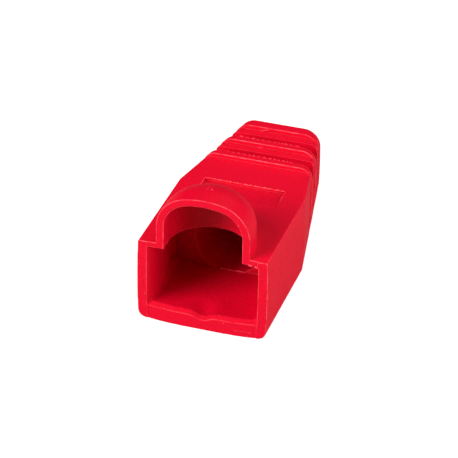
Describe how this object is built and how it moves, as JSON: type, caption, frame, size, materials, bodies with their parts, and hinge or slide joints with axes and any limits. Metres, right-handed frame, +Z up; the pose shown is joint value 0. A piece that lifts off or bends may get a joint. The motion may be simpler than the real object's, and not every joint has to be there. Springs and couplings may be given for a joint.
{
  "type": "rj45 strain relief boot",
  "caption": "Slip-on strain relief boot for a modular plug: square socket, arched latch hood and ribbed tail with a round cable bore.",
  "frame": {"origin": "on the plane that the boot rests on, under the middle of its length and width", "axes": "+Y from the plug's mouth towards the cable end of the tail; +Z up, the side of the latch hood; X across"},
  "size_m": [0.0142, 0.0274, 0.0156],
  "materials": {
    "boot": "moulded soft PVC, satin"
  },
  "bodies": {
    "root": {"boot": "boot"}
  },
  "joints": []
}
